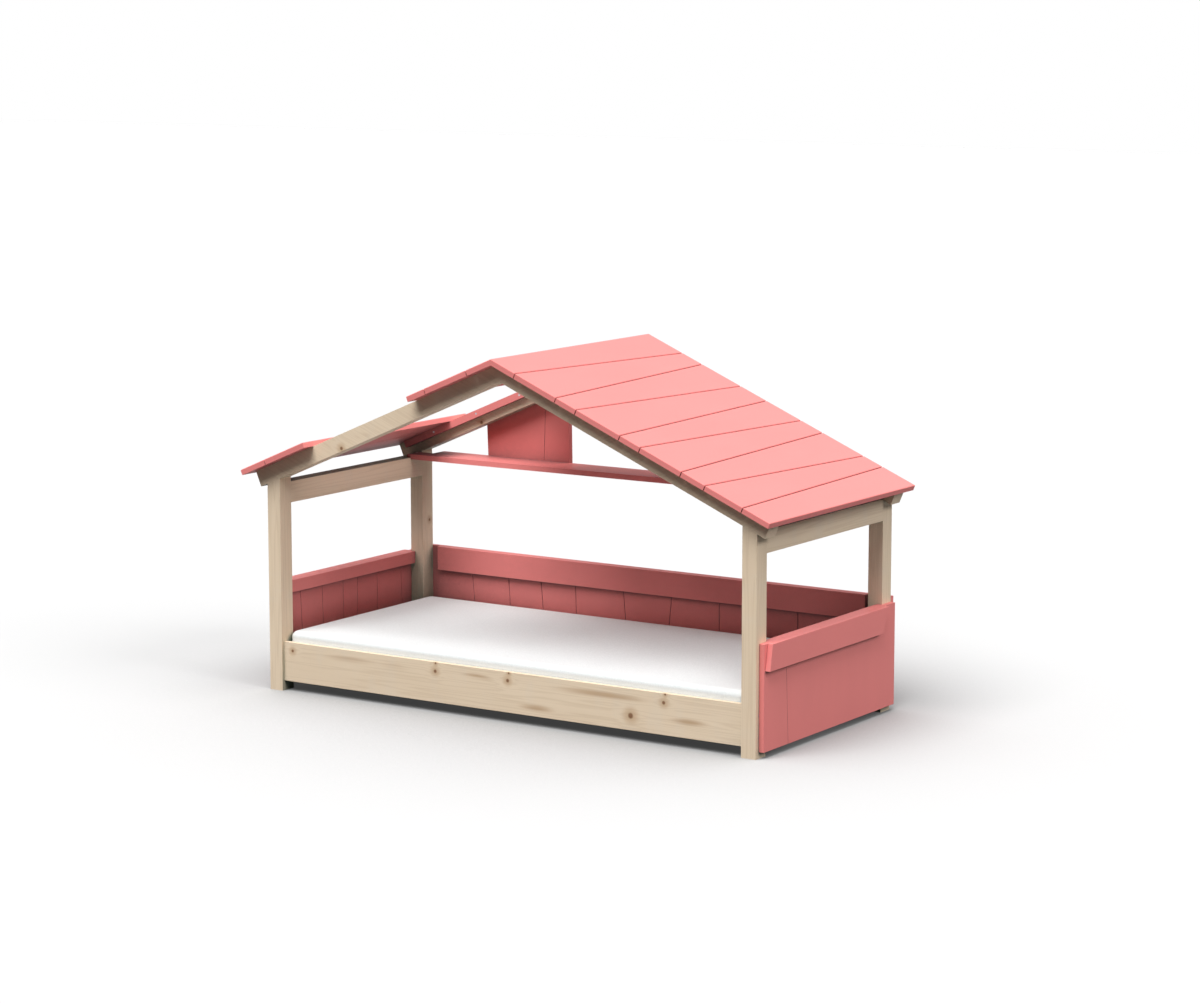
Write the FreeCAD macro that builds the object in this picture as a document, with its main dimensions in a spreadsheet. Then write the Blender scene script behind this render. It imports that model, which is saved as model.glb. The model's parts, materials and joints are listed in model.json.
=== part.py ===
"""House frame bed: a low single bed inside a timber frame with a pitched, boarded roof.

Axes: +X runs along the bed, +Y from the open front to the back, +Z up.
The origin is on the floor, at the middle of the roof's plan.  Lengths are millimetres, angles degrees.
"""
import FreeCAD, Part
import os
import Sketcher

# ---------------------------------------------------------------- driving dimensions
SIZES = {
    # frame
    "post_width": 58,                # along X
    "post_depth": 67,                # along Y, also the thickness of the rafters
    "eave_height": 784.3,            # top of the posts at their outer faces, above the floor
    "beam_rise": 5.7,                # top of the eave beams above that
    "beam_height": 80,
    # roof
    "slope_angle": 23,
    "rafter_width": 60,              # square to the slope
    "rafter_overhang": 54,           # tail tip beyond the posts
    "eave_overhang": 83,             # roof boards beyond the posts, along X
    "front_overhang": 56,            # roof boards beyond the posts' front faces
    "back_overhang": 22,             # and beyond their back faces, over the gable boards
    "batten_width": 27,              # along Y
    "batten_height": 27,             # square to the slope
    "batten_overhang": 12,           # batten end beyond the posts
    "roof_seam": 4,                  # gap between two roof boards
    "roof_chamfer": 2,
    # pink boards and planks
    "board_thickness": 20.5,
    "wall_bottom": 23.5,             # underside of the wall boards above the floor
    "end_wall_top": 402,
    "back_wall_top": 421.5,
    "right_wall_front_inset": 20,    # end wall boards start behind the posts' front faces
    "left_wall_front_inset": 34,
    "end_wall_back_inset": 4,
    "wall_seam": 1.5,
    "wall_chamfer": 1.2,
    "plank_height": 94,              # back plank and outer end planks
    "end_plank_height": 47,          # planks inside the end walls
    "back_plank_inset": 37,          # back plank's ends to the posts
    "right_plank_shift": 5.5,        # outer plank's lower front corner to the end wall's front edge
    "left_plank_shift": 20.5,
    "outer_plank_length": 811,
    "plank_front_rake": 17,          # how far the raked end leans over the plank's height
    "plank_back_rake": 43,
    # gable boards and shelf
    "gable_left_edge": 731,          # all measured from the middle, at the boards' lower ends
    "gable_middle_seam": 467,
    "gable_right_edge": 347,
    "gable_left_rake": 8,            # how far each edge leans over the board's height
    "gable_middle_rake": 10,
    "gable_right_rake": 6,
    "gable_clearance": 2,            # gable boards' tops to the underside of the roof
    "shelf_depth": 143,
    "shelf_bearing": 16,             # length of shelf that lies in each eave beam
    "shelf_notch": 75,               # square notch beside each back post
    "shelf_housing": 6.5,            # depth of the housing cut in the beam
    "shelf_clearance": 0.5,
    # bed base and mattress
    "rail_bottom": 38,
    "rail_height": 148.5,
    "rail_thickness": 20.5,
    "rail_setback": 12,              # front rail behind the posts' front faces
    "bearer_width": 28,
    "bearer_height": 40,
    "bearer_bottom": 48,
    "bearer_clearance": 2,
    "slat_width": 70,
    "slat_thickness": 18,
    "slat_end_clearance": 2,
    "slat_margin": 25,               # first and last slat to the posts' inner faces
    "mattress_length": 2000,
    "mattress_width": 900,
    "mattress_thickness": 120,
    "mattress_end_gap": 5,           # to the posts' inner faces
    "mattress_back_gap": 11.7,       # to the back rail
    "mattress_clearance": 0.3,       # to the front rail and the slats
    "mattress_corner": 45,
    "mattress_edge": 16,             # how far the top and bottom edges are rounded in
    "mattress_draw": 4,              # how far each side is drawn in at its middle
    "mattress_crown": 4,
    # fasteners
    "bolt_diameter": 6,
    "bolt_head_diameter": 13,
    "bolt_head_height": 5,
    "bolt_length": 78,
    "bolt_spread": 80,               # distance between the two bolts of a corner
    "nut_diameter": 10,
    "nut_length": 14,
    "dowel_diameter": 8,
    "dowel_length": 50,
    "dowel_spread": 34,              # across a post or rafter
    "beam_dowel_spread": 44,
    "rail_dowel_spread": 84,
    "screw_diameter": 4,
    "screw_head_diameter": 8,
    "screw_head_height": 2.5,
    "roof_screw_length": 40,
    "batten_screw_length": 55,
    "wall_screw_length": 34,
    "bearer_screw_length": 42,
    "slat_screw_length": 38,
    "gable_screw_length": 45,
    "shelf_screw_length": 50,
    "bore_clearance": 0.2,           # between a fastener and its bore, on the radius
}

# Widths of the strips of each slope, from the ridge down: (at the front edge, at the back edge).
# They share out the slope's length in this proportion.
RIGHT_ROOF = [(114, 164), (190, 96), (93, 184), (198, 122), (91, 163), (183, 100), (103, 188), (164, 87),
              (116, 148)]
LEFT_ROOF = [(122, 160), (201, 105), (87, 145), (517, 524), (203, 124), (122, 194)]
OPEN_STRIP = 4       # the strip of the left slope that has no board
# Widths of the wall boards: (at the top, at the bottom).
# They share out the wall's length in this proportion.
BACK_WALL = [(242, 277), (178, 168), (152, 161), (167, 146), (216, 239), (236, 164),
             (202, 243), (169, 150), (174, 190), (206, 180), (184, 208)]
LEFT_WALL = [(151, 174), (136, 127), (132, 124), (95, 79), (124, 137), (155, 169), (134, 117)]
RIGHT_WALL = [(146, 168), (795, 773)]
WIDE_BOARD = 250     # a wall board takes one screw for each such width, and at least one

SLAT_COUNT = 13
BATTEN_SCREWS = 5
BEARER_SCREWS = 5

# ---------------------------------------------------------------- places worked out from the sizes
INNER = "(Sizes.mattress_length + 2 * Sizes.mattress_end_gap)"    # between the left and right posts
IN = f"({INNER} / 2)"                                             # inner faces of the posts
OUT = f"({IN} + Sizes.post_width)"                                # outer faces of the posts
POST_MID = f"({IN} + Sizes.post_width / 2)"
DEPTH = ("(Sizes.rail_setback + 2 * Sizes.rail_thickness + Sizes.mattress_clearance"
         " + Sizes.mattress_width + Sizes.mattress_back_gap)")
FACE = f"({DEPTH} / 2)"                                           # front and back faces of the posts
POST_BACK = f"({FACE} - Sizes.post_depth)"                        # post faces that look into the bed
POST_CENTRE = f"({FACE} - Sizes.post_depth / 2)"
TAN = "tan(Sizes.slope_angle)"
COS = "cos(Sizes.slope_angle)"
SIN = "sin(Sizes.slope_angle)"
RAFTER_FOOT = f"(Sizes.eave_height + {OUT} * {TAN})"              # the rafters' underside at the ridge
RAFTER_TOP = f"({RAFTER_FOOT} + Sizes.rafter_width / {COS})"
RIDGE = f"({RAFTER_TOP} + Sizes.board_thickness / {COS})"         # the top of the roof boards
SLOPE_LENGTH = f"(({OUT} + Sizes.eave_overhang) / {COS})"
ROOF_FRONT = f"({FACE} + Sizes.front_overhang)"                   # from the middle of the posts
ROOF_BACK = f"({FACE} + Sizes.back_overhang)"
BEAM_TOP = "(Sizes.eave_height + Sizes.beam_rise)"
SLAT_BOTTOM = "(Sizes.bearer_bottom + Sizes.bearer_height)"
SLAT_TOP = f"({SLAT_BOTTOM} + Sizes.slat_thickness)"
FRONT_RAIL_IN = f"(-{FACE} + Sizes.rail_setback + Sizes.rail_thickness)"
BACK_RAIL_IN = f"({FACE} - Sizes.rail_thickness)"
RAIL_MID = "(Sizes.rail_bottom + Sizes.rail_height / 2)"
SHELF_BOTTOM = f"({BEAM_TOP} - Sizes.shelf_housing)"
SHELF_FRONT = f"({FACE} - Sizes.shelf_depth)"
SHELF_END = f"({IN} + Sizes.shelf_bearing)"
WALL_FRONT = {side: f"(-{FACE} + Sizes.{side}_wall_front_inset)" for side in ("left", "right")}
WALL_BACK = f"({FACE} - Sizes.end_wall_back_inset)"               # back ends of both end walls

X_AXIS = FreeCAD.Vector(1, 0, 0)
Y_AXIS = FreeCAD.Vector(0, 1, 0)
SIDES = (("left", -1), ("right", 1))
ENDS = (("front", -1), ("back", 1))

doc = FreeCAD.newDocument("house_frame_bed")
sheet = doc.addObject("Spreadsheet::Sheet", "Sizes")
blanks = {}          # name -> document object before its bores are cut
bores = {}           # name -> cutters that go through it
groups = {}          # node name -> names of the blanks that share the node


def fill_sheet():
    """Write every driving dimension into the sheet, with its name as the alias."""
    values = dict(SIZES)
    for table, widths in (("right_roof", RIGHT_ROOF), ("left_roof", LEFT_ROOF)):
        for number, (front, back) in enumerate(widths, 1):
            values[f"{table}_{number}_front"] = front
            values[f"{table}_{number}_back"] = back
    for table, widths in (("back_wall", BACK_WALL), ("left_wall", LEFT_WALL), ("right_wall", RIGHT_WALL)):
        for number, (top, bottom) in enumerate(widths, 1):
            values[f"{table}_{number}_top"] = top
            values[f"{table}_{number}_bottom"] = bottom
    for row, (name, value) in enumerate(values.items(), 1):
        sheet.set(f"A{row}", name)
        sheet.set(f"B{row}", str(value))
        sheet.setAlias(f"B{row}", name)
    doc.recompute()


def size(name):
    return float(getattr(sheet, name))


# ---------------------------------------------------------------- makers
def put(piece, x="0", y="0", z="0"):
    for axis, place in zip("xyz", (x, y, z)):
        piece.setExpression(f"Placement.Base.{axis}", place)


def turn(piece, axis, angle):
    """Turn a piece about an axis through its own origin; the angle is an expression."""
    piece.Placement = FreeCAD.Placement(FreeCAD.Vector(), FreeCAD.Rotation(axis, 45))
    piece.setExpression("Placement.Rotation.Angle", angle)


def keep(name, piece):
    piece.Label = name + "_blank"
    blanks[name] = piece
    return piece


def box(name, length, depth, height, x, y, z):
    """A square-edged piece, given by its sizes and its lowest corner."""
    piece = doc.addObject("Part::Box", name + "_box")
    piece.setExpression("Length", length)
    piece.setExpression("Width", depth)
    piece.setExpression("Height", height)
    put(piece, x, y, z)
    return keep(name, piece)


def outline(body, name, role, points):
    """A closed sketch of straight sides, each corner held by two bound distances from the origin."""
    sketch = body.newObject("Sketcher::SketchObject", name)
    plane = next(item for item in body.Origin.OriginFeatures if item.Role == role)
    sketch.AttachmentSupport = [(plane, "")]
    sketch.MapMode = "FlatFace"
    count = len(points)
    turn_step = FreeCAD.Rotation(FreeCAD.Vector(0, 0, 1), 360 / count)
    corner = FreeCAD.Vector(100, 0, 0)
    for _ in range(count):
        following = turn_step.multVec(corner)
        sketch.addGeometry(Part.LineSegment(corner, following), False)
        corner = following
    for side in range(count):
        sketch.addConstraint(Sketcher.Constraint("Coincident", side, 2, (side + 1) % count, 1))
    for side, (across, along) in enumerate(points):
        for kind, place in (("DistanceX", across), ("DistanceY", along)):
            index = sketch.addConstraint(Sketcher.Constraint(kind, -1, 1, side, 1, 10.0))
            sketch.setExpression(f"Constraints[{index}]", place)
    return sketch


def prism(name, role, points, thickness, toward_minus=False):
    """A body padded from an outline on one of its own planes."""
    body = doc.addObject("PartDesign::Body", name + "_body")
    sketch = outline(body, name + "_outline", role, points)
    pad = body.newObject("PartDesign::Pad", name + "_pad")
    pad.Profile = sketch
    pad.setExpression("Length", thickness)
    normal_is_minus_y = role == "XZ_Plane"
    pad.Reversed = toward_minus != normal_is_minus_y
    return keep(name, body)


def ease(body, width, chosen):
    """Chamfer the edges of a body's pad that the test picks."""
    doc.recompute()
    pad = body.Tip
    names = [f"Edge{number}" for number, edge in enumerate(pad.Shape.Edges, 1) if chosen(edge)]
    chamfer = body.newObject("PartDesign::Chamfer", body.Name + "_ease")
    chamfer.Base = (pad, names)
    chamfer.setExpression("Size", width)
    pad.Visibility = False
    body.Tip = chamfer


def flat_at(edge, axis, level):
    """Whether both ends of an edge lie at a level along an axis."""
    return all(abs(getattr(vertex.Point, axis) - level) < 0.01 for vertex in edge.Vertexes)


def first_widths(table, count, where):
    return "(" + " + ".join(f"Sizes.{table}_{number}_{where}" for number in range(1, count + 1)) + ")"


def edge_is_level(edge):
    return abs(edge.Vertexes[0].Z - edge.Vertexes[-1].Z) < 0.01


def seam(table, number, count, where, length):
    """The distance from the first edge of a row of boards to the seam after some of them."""
    if number == 0:
        return "0"
    if number == count:
        return length
    return f"({first_widths(table, number, where)} / {first_widths(table, count, where)} * {length})"


# ---------------------------------------------------------------- timber frame
def make_posts():
    """Square posts whose tops are sawn to the slope and carry the rafters."""
    for side, sign in SIDES:
        for end, way in ENDS:
            points = [(f"{sign} * {IN}", "0"), (f"{sign} * {OUT}", "0"),
                      (f"{sign} * {OUT}", f"{RAFTER_FOOT} - {OUT} * {TAN}"),
                      (f"{sign} * {IN}", f"{RAFTER_FOOT} - {IN} * {TAN}")]
            post = prism(f"post_{end}_{side}", "XZ_Plane", points, "Sizes.post_depth")
            put(post, y=f"-{FACE}" if way < 0 else POST_BACK)


def make_rafters():
    """Rafters that meet in a plumb joint at the ridge and end in a square-sawn tail."""
    tip = f"({OUT} + Sizes.rafter_overhang)"
    for side, sign in SIDES:
        for end, way in ENDS:
            points = [("0", RAFTER_TOP), (f"{sign} * {tip}", f"{RAFTER_TOP} - {tip} * {TAN}"),
                      (f"{sign} * ({tip} - Sizes.rafter_width * {SIN})",
                       f"{RAFTER_TOP} - {tip} * {TAN} - Sizes.rafter_width * {COS}"),
                      ("0", RAFTER_FOOT)]
            rafter = prism(f"rafter_{end}_{side}", "XZ_Plane", points, "Sizes.post_depth")
            put(rafter, y=f"-{FACE}" if way < 0 else POST_BACK)


def make_beams():
    """Eave beams between the front and back posts, housed for the shelf's ends."""
    for side, sign in SIDES:
        name = f"eave_beam_{side}"
        box(name, "Sizes.post_width", f"2 * {POST_BACK}", "Sizes.beam_height",
            IN if sign > 0 else f"-{OUT}", f"-{POST_BACK}", f"{BEAM_TOP} - Sizes.beam_height")
        housing = doc.addObject("Part::Box", name + "_housing")
        reach = "(Sizes.shelf_bearing + Sizes.shelf_clearance)"
        housing.setExpression("Length", f"2 * {reach}")
        housing.setExpression("Width", "Sizes.shelf_depth - Sizes.shelf_notch + 2 * Sizes.shelf_clearance")
        housing.setExpression("Height", "2 * Sizes.shelf_housing")
        put(housing, f"{sign} * {IN} - {reach}", f"{SHELF_FRONT} - Sizes.shelf_clearance", SHELF_BOTTOM)
        bores.setdefault(name, []).append(housing)


def make_rails():
    """The two long rails and the two end rails that carry the base and the wall boards."""
    for end, y in (("front", f"{FRONT_RAIL_IN} - Sizes.rail_thickness"), ("back", BACK_RAIL_IN)):
        box(f"{end}_rail", INNER, "Sizes.rail_thickness", "Sizes.rail_height",
            f"-{IN}", y, "Sizes.rail_bottom")
    for side, sign in SIDES:
        box(f"end_rail_{side}", "Sizes.rail_thickness", f"2 * {POST_BACK}", "Sizes.rail_height",
            f"{OUT} - Sizes.rail_thickness" if sign > 0 else f"-{OUT}", f"-{POST_BACK}", "Sizes.rail_bottom")


def make_base():
    """Slat bearers on the rails and the slats that lie across them."""
    length = f"({INNER} - 2 * Sizes.bearer_clearance)"
    for end, y in (("front", FRONT_RAIL_IN), ("back", f"{BACK_RAIL_IN} - Sizes.bearer_width")):
        box(f"slat_bearer_{end}", length, "Sizes.bearer_width", "Sizes.bearer_height",
            f"-{length} / 2", y, "Sizes.bearer_bottom")
    for number in range(SLAT_COUNT):
        box(f"slat_{number + 1}", "Sizes.slat_width",
            f"{BACK_RAIL_IN} - {FRONT_RAIL_IN} - 2 * Sizes.slat_end_clearance", "Sizes.slat_thickness",
            f"{slat_middle(number)} - Sizes.slat_width / 2",
            f"{FRONT_RAIL_IN} + Sizes.slat_end_clearance", SLAT_BOTTOM)
    groups["slats"] = [f"slat_{number + 1}" for number in range(SLAT_COUNT)]


def slat_middle(number):
    span = f"({INNER} - 2 * Sizes.slat_margin - Sizes.slat_width)"
    return f"({span} * {number / (SLAT_COUNT - 1) - 0.5})"


# ---------------------------------------------------------------- roof
def roof_board(name, side, table, number, count):
    """One board of a slope: level from front to back, with raked seams and eased upper edges."""
    sign = dict(SIDES)[side]
    top = number == 1
    last = number == count
    upper, lower = ([seam(table, done, count, where, SLOPE_LENGTH) for where in ("front", "back")]
                    for done in (number - 1, number))
    near = "0" if top else "Sizes.roof_seam / 2"
    far = "0" if last else "Sizes.roof_seam / 2"
    points = [(f"{sign} * ({upper[0]} + {near})", f"-{ROOF_FRONT}"),
              (f"{sign} * ({lower[0]} - {far})", f"-{ROOF_FRONT}"),
              (f"{sign} * ({lower[1]} - {far})", ROOF_BACK),
              (f"{sign} * ({upper[1]} + {near})", ROOF_BACK)]
    board = prism(name, "XY_Plane", points, "Sizes.board_thickness", toward_minus=True)
    if top:
        bevel = outline(board, name + "_bevel_outline", "XZ_Plane",
                        [("0", "0"), (f"{sign} * Sizes.board_thickness * {TAN}", "-Sizes.board_thickness"),
                         (f"{-sign} * Sizes.board_thickness", "-Sizes.board_thickness"),
                         (f"{-sign} * Sizes.board_thickness", "0")])
        cut = board.newObject("PartDesign::Pocket", name + "_bevel")
        cut.Profile = bevel
        cut.Midplane = True
        cut.setExpression("Length", f"2 * ({ROOF_FRONT} + {ROOF_BACK})")
        board.Tip = cut
    ease(board, "Sizes.roof_chamfer",
         lambda edge: flat_at(edge, "z", 0) and not (top and flat_at(edge, "x", 0)))
    turn(board, Y_AXIS * sign, "Sizes.slope_angle")
    put(board, z=RIDGE)
    board_spans[name] = (side, upper, lower, last)


board_spans = {}     # roof board -> (side, upper seam, lower seam, whether it is the one at the eave)


def make_roof_boards():
    """A fully boarded right slope, and a left slope with an opening between two groups of boards."""
    for number in range(1, len(RIGHT_ROOF) + 1):
        roof_board(f"roof_board_right_{number}", "right", "right_roof", number, len(RIGHT_ROOF))
    strips = [number for number in range(1, len(LEFT_ROOF) + 1) if number != OPEN_STRIP]
    for order, number in enumerate(strips, 1):
        roof_board(f"roof_board_left_{order}", "left", "left_roof", number, len(LEFT_ROOF))


def make_battens():
    """Battens under the roof boards, against the inner faces of the rafters."""
    tip = f"({OUT} + Sizes.batten_overhang)"
    for side, sign in SIDES:
        for end, way in ENDS:
            points = [("0", RAFTER_TOP), (f"{sign} * {tip}", f"{RAFTER_TOP} - {tip} * {TAN}"),
                      (f"{sign} * ({tip} - Sizes.batten_height * {SIN})",
                       f"{RAFTER_TOP} - {tip} * {TAN} - Sizes.batten_height * {COS}"),
                      ("0", f"{RAFTER_TOP} - Sizes.batten_height / {COS}")]
            batten = prism(f"roof_batten_{end}_{side}", "XZ_Plane", points, "Sizes.batten_width")
            put(batten, y=f"-{POST_BACK}" if way < 0 else f"{POST_BACK} - Sizes.batten_width")


def make_gable():
    """Two boards behind the back rafter, left of the middle, and the shelf below them."""
    def board(name, left, left_rake, right, right_rake):
        corners = []
        for x, rake in ((left, left_rake), (right, right_rake)):
            top = f"({RAFTER_TOP} - {x} * {TAN} - Sizes.gable_clearance)"
            corners.append([(f"-({x})", SHELF_BOTTOM), (f"-({x} {rake})", f"{top} - (0 {rake}) * {TAN}")])
        points = [corners[0][0], corners[1][0], corners[1][1], corners[0][1]]
        put(prism(name, "XZ_Plane", points, "Sizes.board_thickness"), y=FACE)

    gap = "Sizes.wall_seam / 2"
    board("gable_board_1", "Sizes.gable_left_edge", "+ Sizes.gable_left_rake",
          f"(Sizes.gable_middle_seam + {gap})", "- Sizes.gable_middle_rake")
    board("gable_board_2", f"(Sizes.gable_middle_seam - {gap})", "- Sizes.gable_middle_rake",
          "Sizes.gable_right_edge", "+ Sizes.gable_right_rake")


def make_shelf():
    """A flat shelf between the eave beams, notched beside the back posts."""
    step = f"({FACE} - Sizes.shelf_notch)"
    back_end = f"({SHELF_END} - Sizes.shelf_notch)"
    points = [(f"-{SHELF_END}", SHELF_FRONT), (SHELF_END, SHELF_FRONT), (SHELF_END, step), (back_end, step),
              (back_end, FACE), (f"-{back_end}", FACE), (f"-{back_end}", step), (f"-{SHELF_END}", step)]
    shelf = prism("shelf", "XY_Plane", points, "Sizes.board_thickness")
    put(shelf, z=SHELF_BOTTOM)


# ---------------------------------------------------------------- walls
def wall_boards(table, count, role, start, finish, top, room_side, level):
    """A row of upright boards with raked seams, chamfered on the room side."""
    length = f"({finish} - {start})"
    names = []
    for number in range(1, count + 1):
        edges = []
        for done, gap in ((number - 1, "+ Sizes.wall_seam / 2"), (number, "- Sizes.wall_seam / 2")):
            at_end = done in (0, count)
            for where in ("bottom", "top"):
                edges.append(f"{start} + {seam(table, done, count, where, length)} {'' if at_end else gap}")
        points = [(edges[0], "Sizes.wall_bottom"), (edges[2], "Sizes.wall_bottom"),
                  (edges[3], top), (edges[1], top)]
        name = f"{table}_board_{number}"
        board = prism(name, role, points, "Sizes.board_thickness")
        ease(board, "Sizes.wall_chamfer",
             lambda edge: flat_at(edge, room_side, level) and not edge_is_level(edge))
        names.append(name)
    groups[table + "_boards"] = names
    return [blanks[name] for name in names]


def make_walls():
    """Low boarded walls outside the posts, with a plank along the top of each."""
    for board in wall_boards("back_wall", len(BACK_WALL), "XZ_Plane", f"-{OUT}", OUT,
                             "Sizes.back_wall_top", "y", 0):
        put(board, y=FACE)
    for (side, sign), widths in zip(SIDES, (LEFT_WALL, RIGHT_WALL)):
        room = 0 if sign > 0 else size("board_thickness")
        for board in wall_boards(f"{side}_wall", len(widths), "YZ_Plane", WALL_FRONT[side], WALL_BACK,
                                 "Sizes.end_wall_top", "x", room):
            put(board, x=OUT if sign > 0 else f"-{OUT} - Sizes.board_thickness")
        box(f"inner_plank_{side}", "Sizes.board_thickness", f"2 * {POST_BACK}", "Sizes.end_plank_height",
            f"{OUT} - Sizes.board_thickness" if sign > 0 else f"-{OUT}", f"-{POST_BACK}",
            "Sizes.end_wall_top - Sizes.end_plank_height")
        make_outer_plank(side, sign)
    half = f"({IN} - Sizes.back_plank_inset)"
    box("back_plank", f"2 * {half}", "Sizes.board_thickness", "Sizes.plank_height",
        f"-{half}", f"{FACE} - Sizes.board_thickness", "Sizes.back_wall_top - Sizes.plank_height")


def make_outer_plank(side, sign):
    """The raked plank outside an end wall."""
    low = "(Sizes.end_wall_top - Sizes.plank_height)"
    start = f"({WALL_FRONT[side]} + Sizes.{side}_plank_shift)"
    finish = f"({start} + Sizes.outer_plank_length)"
    points = [(start, low), (finish, low), (f"{finish} + Sizes.plank_back_rake", "Sizes.end_wall_top"),
              (f"{start} + Sizes.plank_front_rake", "Sizes.end_wall_top")]
    plank = prism(f"outer_plank_{side}", "YZ_Plane", points, "Sizes.board_thickness")
    put(plank, x=f"{OUT} + Sizes.board_thickness" if sign > 0 else f"-{OUT} - 2 * Sizes.board_thickness")


# ---------------------------------------------------------------- fasteners
def spun(kind, name, first, last, height, site, start="0", grow="0"):
    """A cylinder or cone along a site's direction, its radii enlarged by grow."""
    piece = doc.addObject("Part::" + kind, name)
    if kind == "Cone":
        piece.setExpression("Radius1", f"{first} + {grow}")
        piece.setExpression("Radius2", f"{last} + {grow}")
    else:
        piece.setExpression("Radius", f"{first} + {grow}")
    piece.setExpression("Height", height)
    x, y, z, axis, angle = site
    turn(piece, axis, angle)
    put(piece, x, y, z)
    return piece


def fused(name, pieces):
    whole = doc.addObject("Part::MultiFuse", name)
    whole.Shapes = pieces
    return whole


def screw(name, length, site, grow="0"):
    """A countersunk screw: its head's face is at the site and it points along the site's direction."""
    head = spun("Cone", name + "_head", "Sizes.screw_head_diameter / 2", "Sizes.screw_diameter / 2",
                "Sizes.screw_head_height", site, grow=grow)
    shank = spun("Cylinder", name + "_shank", "Sizes.screw_diameter / 2", None, f"{length} + {grow}", site,
                 grow=grow)
    return fused(name, [head, shank])


def fasten(node, make, sites):
    """Make one fastener for each site, and its clearance bore in each piece that it goes through."""
    names = []
    for number, (site, hosts) in enumerate(sites, 1):
        name = f"{node}_{number}"
        keep(name, make(name, site))
        names.append(name)
        cutter = make(name + "_bore", site, "Sizes.bore_clearance")
        for host in hosts:
            bores.setdefault(host, []).append(cutter)
    groups[node] = names


def screws(node, length, sites):
    fasten(node, lambda name, site, grow="0": screw(name, f"Sizes.{length}", site, grow), sites)


def along_x(x, y, z, sign):
    return (x, y, z, Y_AXIS * sign, "90")


def along_y(x, y, z, sign):
    return (x, y, z, X_AXIS * -sign, "90")


def slope_site(sign, down, y, depth):
    """A place given by its distance down a slope and below its surface, pointing up through it."""
    x = f"{sign} * ({down} * {COS} - {depth} * {SIN})"
    z = f"{RIDGE} - {down} * {SIN} - {depth} * {COS}"
    return (x, y, z, Y_AXIS * sign, "Sizes.slope_angle")


def dowel(name, site, grow="0"):
    """A dowel whose middle is where the two pieces meet."""
    x, y, z, axis, angle = site
    direction = FreeCAD.Rotation(axis, 90 if angle == "90" else 0).multVec(FreeCAD.Vector(0, 0, 1))
    half = f"(Sizes.dowel_length / 2 + {grow})"
    start = tuple(f"{place} - ({round(part)}) * {half}" for place, part in zip((x, y, z), direction))
    return spun("Cylinder", name, "Sizes.dowel_diameter / 2", None, f"2 * {half}", start + (axis, angle),
                grow=grow)


def dowel_sites():
    """Dowels between posts, end rails, eave beams and rafters, and between the rafters at the ridge."""
    sites = []
    for side, sign in SIDES:
        for end, way in ENDS:
            post = f"post_{end}_{side}"
            joint = f"{way} * {POST_BACK}"
            beam_middle = f"{BEAM_TOP} - Sizes.beam_height / 2"
            for step in (-0.5, 0.5):
                sites.append((along_y(f"{sign} * {POST_MID}", joint,
                                      f"{beam_middle} + {step} * Sizes.beam_dowel_spread", 1),
                              (post, f"eave_beam_{side}")))
                sites.append((along_y(f"{sign} * ({OUT} - Sizes.rail_thickness / 2)", joint,
                                      f"{RAIL_MID} + {step} * Sizes.rail_dowel_spread", 1),
                              (post, f"end_rail_{side}")))
                seat = f"{RAFTER_FOOT} - {POST_MID} * {TAN}"
                sites.append(((f"{sign} * {POST_MID}", f"{way} * {POST_CENTRE} + {step} * Sizes.dowel_spread",
                               seat, Y_AXIS, "0"), (post, f"rafter_{end}_{side}")))
    for end, way in ENDS:
        for step in (-0.5, 0.5):
            sites.append((along_x("0", f"{way} * {POST_CENTRE} + {step} * Sizes.dowel_spread",
                                  f"({RAFTER_TOP} + {RAFTER_FOOT}) / 2", 1),
                          (f"rafter_{end}_left", f"rafter_{end}_right")))
    return sites


def bolt(name, site, grow="0"):
    """A connecting bolt with a flat round head, sunk into the post's outer face."""
    head = spun("Cylinder", name + "_head", "Sizes.bolt_head_diameter / 2", None, "Sizes.bolt_head_height",
                site, grow=grow)
    shank = spun("Cylinder", name + "_shank", "Sizes.bolt_diameter / 2", None, f"Sizes.bolt_length + {grow}",
                 site, grow=grow)
    return fused(name, [head, shank])


def corner_sites():
    """Two bolts at each corner, from the post's outer face into the end of a long rail, and their nuts."""
    bolts, nuts = [], []
    rails = (("front", f"({FRONT_RAIL_IN} - Sizes.rail_thickness / 2)"),
             ("back", f"({BACK_RAIL_IN} + Sizes.rail_thickness / 2)"))
    for side, sign in SIDES:
        for end, y in rails:
            for step in (-0.5, 0.5):
                z = f"{RAIL_MID} + {step} * Sizes.bolt_spread"
                bolts.append((along_x(f"{sign} * {OUT}", y, z, -sign), (f"post_{end}_{side}", f"{end}_rail")))
                x = f"{sign} * ({OUT} - Sizes.bolt_length - Sizes.nut_diameter / 2 - Sizes.bore_clearance)"
                nuts.append((along_y(x, f"{y} - Sizes.nut_length / 2", z, 1), (f"{end}_rail",)))
    return bolts, nuts


def barrel_nut(name, site, grow="0"):
    return spun("Cylinder", name, "Sizes.nut_diameter / 2", None, f"Sizes.nut_length + {grow}", site,
                grow=grow)


def roof_screw_sites():
    """One screw up through each batten into each roof board that crosses it."""
    sites = []
    for name, (side, upper, lower, last) in board_spans.items():
        for end, way in ENDS:
            y = f"{way} * ({POST_BACK} - Sizes.batten_width / 2)"
            share = f"(({ROOF_FRONT} + {y}) / ({ROOF_FRONT} + {ROOF_BACK}))"
            middle = (f"(({upper[0]} + {lower[0]}) / 2 * (1 - {share})"
                      f" + ({upper[1]} + {lower[1]}) / 2 * {share})")
            if last:
                middle = f"({middle} - Sizes.eave_overhang / 2)"
            site = slope_site(dict(SIDES)[side], middle, y, "(Sizes.board_thickness + Sizes.batten_height)")
            sites.append((site, (name, f"roof_batten_{end}_{side}")))
    return sites


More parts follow.
